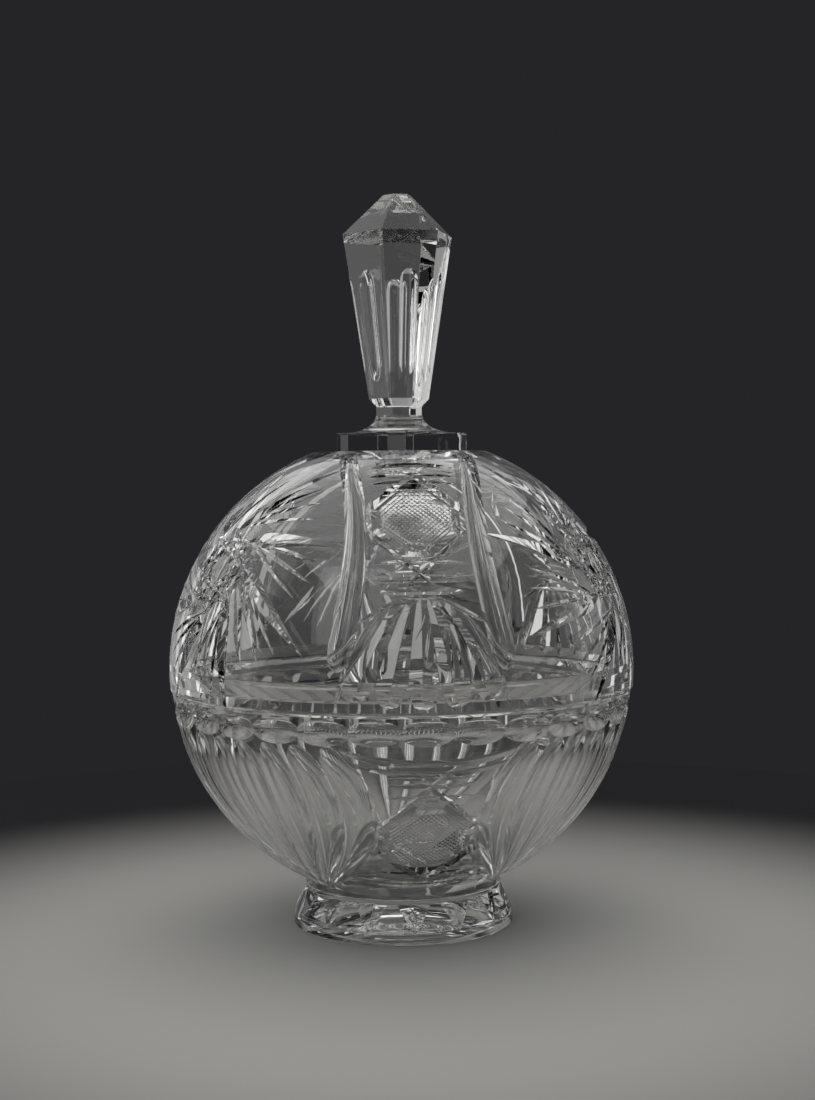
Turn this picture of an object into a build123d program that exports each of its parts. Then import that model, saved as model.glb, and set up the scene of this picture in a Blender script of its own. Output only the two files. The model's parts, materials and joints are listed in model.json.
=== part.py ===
"""A covered cut-crystal bowl: a footed round bowl and a domed lid with a tall six-sided finial.

Millimetres, +Z up. The origin is the centre of the foot's underside. One of the three medallion panels
faces -Y. Places on the glass are given as an azimuth, turned from -Y towards +X, and a latitude above or
below the middle of the ball.
"""

from build123d import *
from math import asin, atan2, cos, degrees, pi, radians, sin, sqrt, tan
import os

# The ball that the bowl and the lid make together, parted a little below its middle
lid_radius = 75.0
bowl_radius = 74.4
joint_drop = 6.8
panels = 3

# Lid
lid_wall = 6.0
seat_radius = 28.2
ceiling_thickness = 6.5
rim_rounding = 1.0
flange_depth = 5.0
flange_thickness = 3.2
flange_clearance = 0.8
flange_shoulder = 3.0

# Bowl
bowl_wall = 6.2
base_radius = 26.6
floor_thickness = 8.0
rim_bevel = 0.6

# Foot
foot_height = 13.5
foot_radius = 35.7
foot_band = 3.6
foot_top_radius = 31.8
foot_lip = 1.4
foot_recess_radius = 24.0
foot_recess_depth = 4.5
foot_facets = 15
foot_facet_depth = 2.4
foot_facet_angle = 146.0

# Finial: a plate on the lid's seat, a spread, a neck, a tapered head and a crown
plate_thickness = 5.2
plate_long_side = 35.6
plate_short_side = 5.9
spread_height = 6.5
spread_edge = 0.6
spread_radius = 20.5
neck_radius = 7.6
neck_height = 3.0
head_shoulder = 2.4
head_low_radius = 10.0
head_height = 52.5
girdle_radius = 18.2
crown_height = 12.9
table_radius = 4.7
finial_turn = 9.0
finial_flute_length = 36.0
finial_flute_width = 6.4
finial_flute_depth = 1.3
finial_flute_middle = 24.0

# Cuts in the glass: the opening angles of the wheels and how far a cutter stands out of the glass
mitre_angle = 118.0
fine_angle = 80.0
fan_angle = 130.0
proud = 1.5

# Medallion panels, sizes from the medallion's middle
lid_medallion_latitude = 41.2
bowl_medallion_latitude = -38.0
lattice_half_width = 12.0
lattice_steps = (13.6, 19.4, 25.4)
lattice_cross_inner = (15.8, 1.7)
lattice_cross_outer = (-6.5, 26.4)
bowl_lattice_scale = 1.1

# Fan under the lid's medallion
fan_petals = 5
fan_top_latitude = 21.0
fan_top_pitch = 1.8
fan_low_latitude = -4.0
fan_low_pitch = 7.8
fan_low_rise = 0.4

# Broad flutes that border the lid's medallion panels
border_top = (33.0, 66.0)
border_middle = (16.8, 30.0)
border_low = (21.0, -2.6)
border_depth = 1.6
border_width = 7.0

# Whirling stars between the panels
star_latitude = 27.0
star_points = 8
star_radius = 14.0
star_turn = 0.0
star_ray_length = 31.0
star_ray_lead = -34.0
star_fine_rays = 3
star_fine_step = -13.0
star_fine_length = 27.0
star_hub_stride = 3

# Row of thumbprints under the bowl's rim
thumbprints = 30
thumbprint_height = 8.0
thumbprint_depth = 1.3
thumbprint_overlap = 0.5
thumbprint_margin = 1.0

# Shell fans of flutes on the bowl
shell_flutes = 10
shell_top_latitude = -11.0
shell_top_pitch = 8.0
shell_middle_latitude = -36.0
shell_middle_pitch = 9.2
shell_low_latitude = -67.0
shell_low_pitch = 1.4
shell_depth = 1.7
shell_width = 10.0

# Heights above the table
ball_height = foot_height + sqrt(bowl_radius**2 - base_radius**2)
joint_height = ball_height - joint_drop
seat_height = ball_height + sqrt(lid_radius**2 - seat_radius**2)


def ball_point(azimuth, latitude, radius):
    """The point of the ball's surface at an azimuth and a latitude."""
    ring = radius * cos(radians(latitude))
    across = ring * sin(radians(azimuth))
    ahead = -ring * cos(radians(azimuth))
    return Vector(across, ahead, ball_height + radius * sin(radians(latitude)))


def panel_point(azimuth, latitude, across, up, radius):
    """The ball's surface behind a point of the plane that touches it at an azimuth and a latitude."""
    centre = Vector(0, 0, ball_height)
    outward = (ball_point(azimuth, latitude, radius) - centre).normalized()
    sideways = Vector(cos(radians(azimuth)), sin(radians(azimuth)), 0)
    upward = outward.cross(sideways)
    reach = outward * radius + sideways * across + upward * up
    return centre + reach.normalized() * radius


def chord_plane(start, end):
    """A sketch plane across the chord of a straight cut, with Y pointing out of the glass."""
    middle = (start + end) * 0.5
    along = (end - start).normalized()
    outward = (middle - Vector(0, 0, ball_height)).normalized()
    return Plane(origin=middle, x_dir=outward.cross(along), z_dir=along)


def groove_size(chords, angle, radius):
    """The half width and height of a V cutter for these chords, and how far it reaches each way."""
    longest = max((end - start).length for start, end in chords)
    height = radius - sqrt(radius**2 - longest**2 / 4) + proud
    return height * tan(radians(angle / 2)), height, longest / 2 + proud


def wheel_path(start, middle, end, depth):
    """The centre, axis, radius, opening and sweep of a groove that follows the ball through three points."""
    chord = end - start
    half_chord = chord.length / 2
    foot = (start + end) * 0.5
    rise_line = middle - foot
    along = chord.normalized()
    rise_way = (rise_line - along * rise_line.dot(along)).normalized()
    normal = (middle - Vector(0, 0, ball_height)).normalized()
    lean = atan2(normal.dot(rise_way.cross(along)), normal.dot(rise_way))
    rise = rise_line.dot(rise_way) - depth / cos(lean)
    keel_radius = (half_chord**2 + rise**2) / (2 * rise)
    centre = foot + rise_way * (rise - keel_radius)
    half_sweep = degrees(asin(half_chord / keel_radius))
    return centre, along, rise_way, keel_radius, lean, half_sweep


def wheel_plane(centre, along, rise_way, half_sweep):
    """The sketch plane at the start of a groove: X away from its axis, Y along its axis."""
    back = radians(half_sweep)
    away = rise_way * cos(back) - along * sin(back)
    axis_way = rise_way.cross(along)
    return Plane(origin=centre, x_dir=away, z_dir=away.cross(axis_way))


def spindle(half_length, nose, drop):
    """The half section of a round-nosed spindle on its X axis: nose high, lower by drop at half_length."""
    curve = (half_length**2 + drop**2) / (2 * drop)
    reach = half_length + proud
    end = nose - curve + sqrt(curve**2 - reach**2)
    with BuildLine() as section:
        ThreePointArc((-reach, end), (0, nose), (reach, end))
        Polyline((reach, end), (reach, 0), (-reach, 0), (-reach, end))
    make_face(section.edges())


def girth(radius, height):
    """The ball's radius in plan at a height above the table."""
    return sqrt(radius**2 - (height - ball_height) ** 2)


def lattice(azimuth, latitude, radius, scale):
    """The chords round one medallion, at a scale: crossing diagonals and steps above and below."""
    chords = []
    for side in (-1, 1):
        for level in (-1, 1):
            inner = (side * scale * lattice_cross_inner[0], level * scale * lattice_cross_inner[1])
            outer = (side * scale * lattice_cross_outer[0], level * scale * lattice_cross_outer[1])
            start = panel_point(azimuth, latitude, *inner, radius)
            end = panel_point(azimuth, latitude, *outer, radius)
            chords.append((start, end))
    for step in lattice_steps:
        for level in (-step * scale, step * scale):
            start = panel_point(azimuth, latitude, -lattice_half_width, level, radius)
            end = panel_point(azimuth, latitude, lattice_half_width, level, radius)
            chords.append((start, end))
    return chords


def fan(azimuth):
    """The chords of the petals that spread from the medallion to the lid's rim."""
    chords = []
    for petal in range(fan_petals):
        place = petal - (fan_petals - 1) / 2
        low_latitude = fan_low_latitude + fan_low_rise * place**2
        start = ball_point(azimuth + place * fan_top_pitch, fan_top_latitude, lid_radius)
        end = ball_point(azimuth + place * fan_low_pitch, low_latitude, lid_radius)
        chords.append((start, end))
    return chords


def star_places(reach, lead, length):
    """Sideways and upward places round a star: out from its middle by reach, then on by length at a lead."""
    places = []
    for point in range(star_points):
        bearing = radians(star_turn + 360 / star_points * point)
        heading = bearing + radians(lead)
        across = reach * cos(bearing) + length * cos(heading)
        up = reach * sin(bearing) + length * sin(heading)
        places.append((across, up))
    return places


def star_rays(azimuth, lead, length):
    """The chords of one set of rays of a whirling star, one from each of its points."""
    chords = []
    for near, far in zip(star_places(star_radius, 0, 0), star_places(star_radius, lead, length)):
        start = panel_point(azimuth, star_latitude, *near, lid_radius)
        end = panel_point(azimuth, star_latitude, *far, lid_radius)
        chords.append((start, end))
    return chords


def star_hub(azimuth):
    """The chords inside a whirling star, each joining a point to one some points further round."""
    places = [panel_point(azimuth, star_latitude, *place, lid_radius) for place in star_places(star_radius, 0, 0)]
    return [(place, places[(point + star_hub_stride) % star_points]) for point, place in enumerate(places)]


panel_azimuths = [360 / panels * panel for panel in range(panels)]
star_azimuths = [azimuth + 180 / panels for azimuth in panel_azimuths]

# Lid: a dome with a flat seat on top, a flat rim and a flange that drops into the bowl's mouth
lid_inner_radius = lid_radius - lid_wall
bowl_inner_radius = bowl_radius - bowl_wall
flange_low = joint_height - flange_depth
flange_radius = girth(bowl_inner_radius, flange_low) - flange_clearance
flange_inner_radius = flange_radius - flange_thickness
flange_top = joint_height + flange_shoulder
ceiling_height = seat_height - ceiling_thickness
shoulder_height = flange_top + (girth(lid_inner_radius, flange_top) - flange_inner_radius)

# A broad border flute is a round-nosed groove, cut here as one cutter and its mirror image
border_nose = border_width**2 / (8 * border_depth) + border_depth / 2
with BuildPart() as border_cutter:
    border_ends = [ball_point(*place, lid_radius) for place in (border_top, border_middle, border_low)]
    centre, along, rise_way, keel_radius, lean, half_sweep = wheel_path(*border_ends, border_depth)
    border_plane = wheel_plane(centre, along, rise_way, half_sweep)
    with BuildSketch(border_plane):
        with Locations((keel_radius + border_nose * cos(lean), border_nose * sin(lean))):
            Circle(border_nose)
    revolve(axis=Axis(centre, rise_way.cross(along)), revolution_arc=2 * half_sweep)
    mirror(about=Plane.YZ)

with BuildPart() as lid:
    with BuildSketch(Plane.XZ) as lid_profile:
        with BuildLine():
            low_edge = (girth(lid_radius, joint_height), joint_height)
            waist = (lid_radius, ball_height)
            top_edge = (girth(lid_radius, seat_height), seat_height)
            ThreePointArc(low_edge, waist, top_edge)
            Line(top_edge, (0, seat_height))
            Line((0, seat_height), (0, ceiling_height))
            ceiling_edge = (girth(lid_inner_radius, ceiling_height), ceiling_height)
            Line((0, ceiling_height), ceiling_edge)
            inner_middle_height = (ceiling_height + shoulder_height) / 2
            inner_middle = (girth(lid_inner_radius, inner_middle_height), inner_middle_height)
            inner_low = (girth(lid_inner_radius, shoulder_height), shoulder_height)
            ThreePointArc(ceiling_edge, inner_middle, inner_low)
            Line(inner_low, (flange_inner_radius, flange_top))
            Line((flange_inner_radius, flange_top), (flange_inner_radius, flange_low))
            Line((flange_inner_radius, flange_low), (flange_radius, flange_low))
            Line((flange_radius, flange_low), (flange_radius, joint_height))
            Line((flange_radius, joint_height), low_edge)
        make_face()
        fillet(lid_profile.vertices().sort_by_distance(low_edge)[0], radius=rim_rounding)
    revolve()
    with PolarLocations(0, panels):
        add(border_cutter.part, mode=Mode.SUBTRACT, clean=False)
    lid_mitres = []
    lid_petals = []
    lid_fine = []
    for azimuth in panel_azimuths:
        lid_mitres += lattice(azimuth, lid_medallion_latitude, lid_radius, 1)
        lid_petals += fan(azimuth)
    for azimuth in star_azimuths:
        lid_mitres += star_rays(azimuth, star_ray_lead, star_ray_length)
        lid_fine += star_hub(azimuth)
        for ray in range(star_fine_rays):
            lead = star_ray_lead + star_fine_step * (ray + 1)
            lid_fine += star_rays(azimuth, lead, star_fine_length)
    for chords, angle in ((lid_mitres, mitre_angle), (lid_petals, fan_angle), (lid_fine, fine_angle)):
        half_width, height, reach = groove_size(chords, angle, lid_radius)
        with BuildSketch(*[chord_plane(*chord) for chord in chords]):
            Polygon((0, 0), (half_width, height), (-half_width, height), align=None)
        extrude(amount=reach, both=True, mode=Mode.SUBTRACT, clean=False)
lid.part.label = "lid"

# Bowl: a round shell with a flat floor, a flat rim and a flat base on the foot
floor_height = foot_height + floor_thickness
thumbprint_level = joint_height - thumbprint_margin - thumbprint_height / 2
thumbprint_latitude = degrees(asin((thumbprint_level - ball_height) / bowl_radius))
thumbprint_ring = girth(bowl_radius, thumbprint_level)
thumbprint_half = pi * thumbprint_ring / thumbprints + thumbprint_overlap
thumbprint_nose = thumbprint_height**2 / (8 * thumbprint_depth) + thumbprint_depth / 2
thumbprint_drop = thumbprint_depth - thumbprint_half**2 / (2 * thumbprint_ring)
with BuildPart() as thumbprint_cutter:
    surface = ball_point(0, thumbprint_latitude, bowl_radius)
    outward = (surface - Vector(0, 0, ball_height)).normalized()
    pivot = surface + outward * (thumbprint_nose - thumbprint_depth)
    with BuildSketch(Plane(origin=pivot, x_dir=(1, 0, 0), z_dir=Vector(1, 0, 0).cross(outward * -1))):
        spindle(thumbprint_half, thumbprint_nose, thumbprint_drop)
    revolve(axis=Axis(pivot, (1, 0, 0)))

# The flutes of one shell fan spread from the foot to the thumbprints
shell_nose = shell_width**2 / (8 * shell_depth) + shell_depth / 2
shell_azimuth = star_azimuths[0]
shell_cutters = []
for flute in range(shell_flutes):
    place = flute - (shell_flutes - 1) / 2
    shell_top = ball_point(shell_azimuth + place * shell_top_pitch, shell_top_latitude, bowl_radius)
    shell_middle = ball_point(shell_azimuth + place * shell_middle_pitch, shell_middle_latitude, bowl_radius)
    shell_low = ball_point(shell_azimuth + place * shell_low_pitch, shell_low_latitude, bowl_radius)
    path = wheel_path(shell_top, shell_middle, shell_low, shell_depth)
    centre, along, rise_way, keel_radius, lean, half_sweep = path
    with BuildPart() as shell_cutter:
        with BuildSketch(wheel_plane(centre, along, rise_way, half_sweep)):
            with Locations((keel_radius + shell_nose * cos(lean), shell_nose * sin(lean))):
                Circle(shell_nose)
        revolve(axis=Axis(centre, rise_way.cross(along)), revolution_arc=2 * half_sweep)
    shell_cutters.append(shell_cutter.part)

with BuildPart() as bowl:
    with BuildSketch(Plane.XZ) as bowl_profile:
        with BuildLine():
            rim_outside = (girth(bowl_radius, joint_height), joint_height)
            rim_inside = (girth(bowl_inner_radius, joint_height), joint_height)
            base_edge = (girth(bowl_radius, foot_height), foot_height)
            floor_edge = (girth(bowl_inner_radius, floor_height), floor_height)
            outer_middle_height = (joint_height + foot_height) / 2
            inner_middle_height = (joint_height + floor_height) / 2
            outer_middle = (girth(bowl_radius, outer_middle_height), outer_middle_height)
            inner_middle = (girth(bowl_inner_radius, inner_middle_height), inner_middle_height)
            ThreePointArc(rim_outside, outer_middle, base_edge)
            Line(base_edge, (0, foot_height))
            Line((0, foot_height), (0, floor_height))
            Line((0, floor_height), floor_edge)
            ThreePointArc(floor_edge, inner_middle, rim_inside)
            Line(rim_inside, rim_outside)
        make_face()
        chamfer(bowl_profile.vertices().sort_by_distance(rim_outside)[0], length=rim_bevel)
    revolve()
    with PolarLocations(0, thumbprints):
        add(thumbprint_cutter.part, mode=Mode.SUBTRACT, clean=False)
    bowl_mitres = []
    for azimuth in panel_azimuths:
        bowl_mitres += lattice(azimuth, bowl_medallion_latitude, bowl_radius, bowl_lattice_scale)
    for cutter in shell_cutters:
        with PolarLocations(0, panels):
            add(cutter, mode=Mode.SUBTRACT, clean=False)
    half_width, height, reach = groove_size(bowl_mitres, mitre_angle, bowl_radius)
    with BuildSketch(*[chord_plane(*chord) for chord in bowl_mitres]):
        Polygon((0, 0), (half_width, height), (-half_width, height), align=None)
    extrude(amount=reach, both=True, mode=Mode.SUBTRACT, clean=False)
bowl.part.label = "bowl"

# Foot: a flared skirt cut with V facets, a thin lip under the bowl and a domed hollow underneath
skirt_top = foot_height - foot_lip
facet_low = Vector(0, -foot_radius, foot_band)
facet_top = Vector(0, foot_facet_depth - foot_top_radius, skirt_top)
facet_along = (facet_top - facet_low).normalized()
facet_plane = Plane(origin=facet_low, x_dir=(-1, 0, 0), z_dir=facet_along)
facet_reach = (facet_top - facet_low).length + proud
facet_height = foot_facet_depth + proud
facet_half = facet_height * tan(radians(foot_facet_angle / 2))
with BuildPart() as facet_cutter:
    with BuildSketch(facet_plane):
        Polygon((0, 0), (facet_half, facet_height), (-facet_half, facet_height), align=None)
    extrude(amount=facet_reach)
    extrude(facet_cutter.faces().sort_by(Axis.Z)[0], amount=proud)

recess_curve = (foot_recess_radius**2 + foot_recess_depth**2) / (2 * foot_recess_depth)
recess_half = foot_recess_radius / 2
recess_half_depth = foot_recess_depth - recess_curve + sqrt(recess_curve**2 - recess_half**2)
with BuildPart() as foot:
    with BuildSketch(Plane.XZ):
        with BuildLine():
            Polyline(
                (0, 0),
                (foot_radius, 0),
                (foot_radius, foot_band),
                (foot_top_radius, skirt_top),
                (0, skirt_top),
                close=True,
            )
        make_face()
    revolve()
    with PolarLocations(0, foot_facets):
        add(facet_cutter.part, mode=Mode.SUBTRACT, clean=False)
    with BuildSketch(Plane.XY.offset(skirt_top)):
        Circle(foot_top_radius)
    extrude(amount=foot_lip)
    with BuildSketch(Plane.XZ):
        with BuildLine():
            Line((0, 0), (0, foot_recess_depth))
            ThreePointArc((0, foot_recess_depth), (recess_half, recess_half_depth), (foot_recess_radius, 0))
            Line((foot_recess_radius, 0), (0, 0))
        make_face()
    revolve(mode=Mode.SUBTRACT)
foot.part.label = "foot"

# Finial: a three-cornered plate, a spread, a six-sided neck, a tapered head and a crown
plate_top = seat_height + plate_thickness
neck_low = plate_top + spread_height
neck_top = neck_low + neck_height
head_low = neck_top + head_shoulder
girdle_height = head_low + head_height
finial_top = girdle_height + crown_height
plate_side = plate_long_side + 2 * plate_short_side
plate_corner = plate_side / sqrt(3)
plate_cut = plate_corner - plate_short_side * sqrt(3) / 2
finial_sections = (
    (neck_low, neck_radius),
    (neck_top, neck_radius),
    (head_low, head_low_radius),
    (girdle_height, girdle_radius),
    (finial_top, table_radius),
)

# A long hollow in each face of the head, cut by a spindle that lies along the face
face_share = cos(pi / 6)
face_low = Vector(0, -head_low_radius * face_share, head_low)
face_top = Vector(0, -girdle_radius * face_share, girdle_height)
face_along = (face_top - face_low).normalized()
face_outward = Vector(1, 0, 0).cross(face_along)
hollow_nose = finial_flute_width**2 / (8 * finial_flute_depth) + finial_flute_depth / 2
hollow_pivot = face_low + face_along * finial_flute_middle + face_outward * (hollow_nose - finial_flute_depth)
with BuildPart() as hollow_cutter:
    with BuildSketch(Plane(origin=hollow_pivot, x_dir=face_along, z_dir=face_outward.cross(face_along))):
        spindle(finial_flute_length / 2, hollow_nose, finial_flute_depth)
    revolve(axis=Axis(hollow_pivot, face_along))

with BuildPart() as finial:
    with BuildSketch(Plane.XY.offset(seat_height)):
        RegularPolygon(plate_corner, 3, rotation=90)
        RegularPolygon(plate_cut, 3, major_radius=False, rotation=-90, mode=Mode.INTERSECT)
    extrude(amount=plate_thickness + spread_height)
    with BuildSketch(Plane.XZ):
        with BuildLine():
            spread_low = (spread_radius, plate_top + spread_edge)
            spread_top = (neck_radius, neck_low)
            Polyline((0, seat_height), (plate_corner, seat_height), (plate_corner, spread_low[1]), spread_low)
            EllipticalCenterArc(
                (spread_radius, neck_low),
                spread_radius - neck_radius,
                spread_height - spread_edge,
                start_angle=180,
                arc_size=90,
            )
            Polyline(spread_top, (0, neck_low), (0, seat_height))
        make_face()
    revolve(mode=Mode.INTERSECT)
    for low, high in zip(finial_sections, finial_sections[1:]):
        with BuildSketch(Plane.XY.offset(low[0])):
            RegularPolygon(low[1], 6, rotation=finial_turn)
        with BuildSketch(Plane.XY.offset(high[0])):
            RegularPolygon(high[1], 6, rotation=finial_turn)
        loft()
    with PolarLocations(0, 6, start_angle=finial_turn):
        add(hollow_cutter.part, mode=Mode.SUBTRACT, clean=False)
finial.part.label = "finial"

os.makedirs("parts", exist_ok=True)
for piece in (lid, bowl, foot, finial):
    export_step(piece.part, f"parts/{piece.part.label}.step")
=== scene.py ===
"""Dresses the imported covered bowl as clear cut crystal: a footed bowl and a domed cover with a tall finial.

Metres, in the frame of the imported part, with one medallion panel facing -Y. Each glass body is turned on a
lathe as a plain blank, and its pattern is then ground into it by closed cutters, as a cutting wheel would.
Places on the glass are an azimuth, turned from -Y towards +X, and a latitude above the middle of the ball.
"""

import json
from math import atan, cos, pi, radians, sin, sqrt, tan

import bpy
import numpy as np
from bpy.props import FloatProperty, FloatVectorProperty, IntProperty, PointerProperty
from bpy.types import Operator, Panel, PropertyGroup
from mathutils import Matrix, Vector

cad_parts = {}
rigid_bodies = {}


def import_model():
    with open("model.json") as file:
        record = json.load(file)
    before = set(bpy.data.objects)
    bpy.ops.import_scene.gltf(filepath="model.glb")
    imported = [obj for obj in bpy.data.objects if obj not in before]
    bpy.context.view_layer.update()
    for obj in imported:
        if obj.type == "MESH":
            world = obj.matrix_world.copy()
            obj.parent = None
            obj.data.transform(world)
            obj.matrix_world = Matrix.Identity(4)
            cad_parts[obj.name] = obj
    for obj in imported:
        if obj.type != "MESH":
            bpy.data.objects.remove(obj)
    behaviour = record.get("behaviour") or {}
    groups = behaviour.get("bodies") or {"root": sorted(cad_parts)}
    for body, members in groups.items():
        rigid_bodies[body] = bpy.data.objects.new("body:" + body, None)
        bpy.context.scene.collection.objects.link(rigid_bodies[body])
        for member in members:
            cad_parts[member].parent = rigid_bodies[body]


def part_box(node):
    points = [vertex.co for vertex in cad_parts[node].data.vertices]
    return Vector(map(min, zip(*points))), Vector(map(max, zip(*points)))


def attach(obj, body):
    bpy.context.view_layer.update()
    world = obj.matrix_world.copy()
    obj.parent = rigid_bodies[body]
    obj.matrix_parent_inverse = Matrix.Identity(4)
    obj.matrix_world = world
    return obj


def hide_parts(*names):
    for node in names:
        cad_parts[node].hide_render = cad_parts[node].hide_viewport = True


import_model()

bl_info = {
    "name": "Cut crystal covered bowl",
    "version": (1, 0, 0),
    "blender": (4, 5, 0),
    "location": "View3D > Sidebar > Crystal",
    "description": "Grinds a footed crystal bowl and its cover around a packed part",
    "category": "Object",
}

MM = 0.001
PHOTO_WIDTH = 815
PHOTO_HEIGHT = 1100
SENSOR_WIDTH = 36

# Marks on faces: the cover or bowl, the finial or foot that is joined to it, and the crosshatching
POLISHED_MAIN, POLISHED_END, GROUND = 0, 1, 2

OVERREACH = 1.3         # width of a cutter over the width of its cut
FLUTE_POINTS = 13       # points across a round cutter
END_LIFT = 0.3 * MM     # how far the ends of a cutter are lifted
HAIR = 0.02 * MM        # half width that a cutter keeps at its points
MEET = 0.51             # half width of a cut over its pitch, where neighbours meet in a ridge
SINK = 0.2 * MM         # overlap of two glasses that are joined
PRINT_DROP = 5 * MM     # middle of the thumbprints under the bowl's rim
LID_FIELD = 11.3 * MM   # from the middle of a crosshatched field to its sides
BOWL_FIELD = 12.2 * MM
BOWL_SCALE = 1.1        # size of the bowl's medallions over the cover's

LIGHT_AIM = (0, 0, 0.11)
# Soft lights: name, place, width and height in metres, and glow
LIGHTS = (
    ("left_softbox", (-0.95, 0.1, 0.4), 0.6, 1.1, 0.45),
    ("right_softbox", (0.95, 0.2, 0.4), 0.6, 1.1, 0.45),
    ("left_rear_panel", (-0.66, 1.01, 0.4), 0.95, 1.3, 0.36),
    ("right_rear_panel", (0.66, 1.01, 0.4), 0.95, 1.3, 0.07),
    ("left_strip", (-0.55, 0.8, 0.35), 0.08, 0.9, 0.8),
    ("right_strip", (0.55, 0.8, 0.35), 0.08, 0.9, 0.8),
    ("top_softbox", (0.0, 0.0, 0.95), 1.6, 1.6, 0.85),
    ("high_panel", (0.0, 1.05, 1.0), 1.3, 0.5, 0.2),
    ("rear_softbox", (0.0, 1.4, 0.45), 0.7, 1.2, 0.05),
    ("front_softbox", (-0.5, -0.9, 0.75), 0.9, 0.8, 0.8),
)

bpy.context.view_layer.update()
lid_low, lid_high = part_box("lid")
bowl_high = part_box("bowl")[1]
foot_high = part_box("foot")[1]
finial_low, finial_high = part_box("finial")

FOOT_TOP_RADIUS = 31.8 * MM
FOOT_EDGE = 3.6 * MM    # height of the upright edge
FOOT_LIP = 1.4 * MM     # thickness of the lip
FOOT_BEVEL = 0.4 * MM

# The finial's steps, upwards, and its corner radii at them
plate_top = finial_low.z + 5.2 * MM
neck_low = plate_top + 6.5 * MM
neck_top = neck_low + 3.0 * MM
head_low = neck_top + 2.4 * MM
girdle = head_low + 52.5 * MM
NECK_RADIUS = 7.6 * MM
SHOULDER_RADIUS = 10.0 * MM
GIRDLE_RADIUS = 18.2 * MM
TABLE_RADIUS = 4.7 * MM
FINIAL_TURN = radians(9)


def length(name, description, default):
    """A size in metres that a user may change."""
    return FloatProperty(name=name, description=description, default=default, unit="LENGTH", precision=5)


def angle(name, description, default):
    """An angle that a user may change, written here in degrees."""
    return FloatProperty(name=name, description=description, default=radians(default), subtype="ANGLE")


def shade(name, description, default):
    """A colour that a user may change, written here as an sRGB hex value."""
    return FloatVectorProperty(name=name, description=description, default=linear(default), subtype="COLOR",
                               size=3)


def linear(code):
    """The linear red, green and blue of an sRGB hex value: below 0.04045 c / 12.92, above it a 2.4 power."""
    channels = np.array([int(code[place:place + 2], 16) for place in (0, 2, 4)]) / 255
    bright = ((channels + 0.055) / 1.055) ** 2.4
    return tuple(np.where(channels <= 0.04045, channels / 12.92, bright).tolist())


class CrystalForm(PropertyGroup):
    """Sizes of the two blanks before they are cut."""

    lid_radius: length("Lid radius", "Outside of the domed cover", lid_high.x)
    bowl_radius: length("Bowl radius", "Outside of the bowl's ball", lid_high.x - 0.6 * MM)
    ball_height: length("Ball height", "Middle of the ball above the table", bowl_high.z + 6.8 * MM)
    lid_wall: length("Lid wall", "Thickness of the cover's wall", 6.0 * MM)
    bowl_wall: length("Bowl wall", "Thickness of the bowl's wall", 6.2 * MM)
    seat_gap: length("Seat gap", "Daylight between the cover and the bowl's rim", 0.15 * MM)
    floor_thickness: length("Floor", "Thickness of the bowl's floor", 8.0 * MM)
    ceiling_thickness: length("Ceiling", "Thickness of the glass under the finial", 6.5 * MM)
    segments: IntProperty(name="Segments", description="Steps round a turned blank", default=180, min=24)


class CrystalCuts(PropertyGroup):
    """Sizes of the cutter's pattern."""

    panels: IntProperty(name="Panels", description="Medallion panels round the glass", default=3)
    lid_turn: angle("Cover turn", "How far the cover's pattern is turned in its seat", -1.0)
    bowl_turn: angle("Bowl turn", "How far the bowl's pattern is turned", 1.3)
    lid_medallion: angle("Cover medallion", "Latitude of the cover's medallions", 41.2)
    bowl_medallion: angle("Bowl medallion", "Latitude of the bowl's medallions", -38.0)
    # The real crosshatching is about 0.8 mm apart. It is drawn coarser here, so that it shows.
    hatch_pitch: length("Hatch pitch", "Spacing of the fine crosshatching", 1.15 * MM)
    star_latitude: angle("Star latitude", "Middle of each whirling star", 27.0)
    star_points: IntProperty(name="Star points", description="Points of each whirling star", default=8)
    star_radius: length("Star radius", "From a star's middle to its points", 14.2 * MM)
    leaf_length: length("Leaf length", "Long leaf from each star point", 44.0 * MM)
    leaf_lead: angle("Leaf lead", "How far the leaves are turned from straight out", -34.0)
    thumbprints: IntProperty(name="Thumbprints", description="Hollows under the bowl's rim", default=30)
    shell_flutes: IntProperty(name="Shell flutes", description="Flutes in each shell", default=10)
    foot_facets: IntProperty(name="Foot facets", description="V cuts round the foot", default=15)


class CrystalLook(PropertyGroup):
    """Finish of the glass."""

    tint: shade("Tint", "Colour of the glass", "F5F5F4")
    shadow: shade("Shadow", "Colour of the light that one surface lets through", "D1D3D3")
    ior: FloatProperty(name="IOR", description="Refraction of lead crystal", default=1.545)
    haze: FloatProperty(name="Haze", description="Roughness of the polished glass", default=0.0,
                        subtype="FACTOR")
    ground_haze: FloatProperty(name="Ground", description="Roughness of the crosshatching", default=0.1,
                               subtype="FACTOR")
    ripple: length("Ripple", "Width of the faint waves left by polishing", 7.0 * MM)
    edge: length("Edge", "Softness of the cut edges", 0.2 * MM)


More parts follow.
